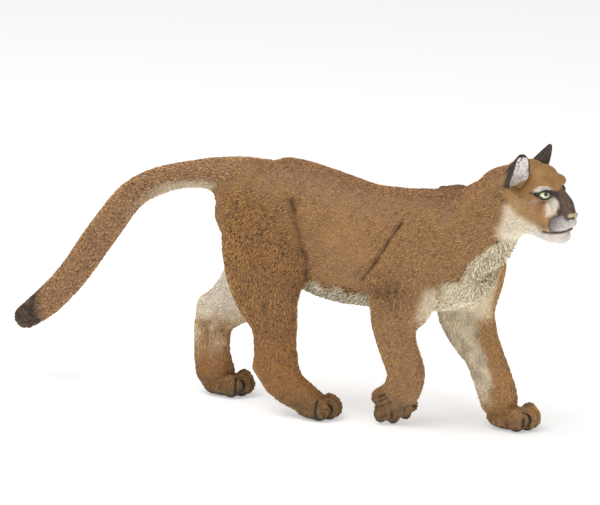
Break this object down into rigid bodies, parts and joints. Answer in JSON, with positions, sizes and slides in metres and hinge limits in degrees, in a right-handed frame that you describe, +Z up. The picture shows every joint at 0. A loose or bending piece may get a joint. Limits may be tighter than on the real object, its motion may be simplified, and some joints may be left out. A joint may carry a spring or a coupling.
{
  "type": "moulded toy figurine of a walking cougar",
  "caption": "Small solid moulded figure of a walking cougar with a long lowered tail, turned ears and a flexed forepaw; a toy or display animal that stands on three paws.",
  "frame": {"origin": "on the floor, under the middle of the figure's bounding box", "axes": "+X forwards, from the tail to the nose; +Y to the animal's left; +Z up"},
  "size_m": [0.1426, 0.0236, 0.0661],
  "materials": {
    "coat": "painted tan with a dark wash in the moulded fur",
    "paws": "painted dark brown",
    "black": "painted black",
    "eyes": "painted pale green, black pupils",
    "nose": "painted dull pink"
  },
  "bodies": {
    "root": {"head": "coat", "neck": "coat", "torso_front": "coat", "torso_middle": "coat", "torso_rear": "coat", "tail_base": "coat", "tail_middle": "coat", "tail_lower": "coat", "tail_tip": "black", "thigh_right": "coat", "thigh_left": "coat", "shank_hind_right": "coat", "shank_hind_left": "coat", "foot_hind_right": "paws", "foot_hind_left": "paws", "upper_arm_right": "coat", "upper_arm_left": "coat", "forearm_right": "coat", "forearm_left": "coat", "forepaw_right": "paws", "forepaw_left": "paws", "ear_left": "black", "ear_right": "black", "eye_left": "eyes", "eye_right": "eyes", "nose": "nose"}
  },
  "joints": []
}
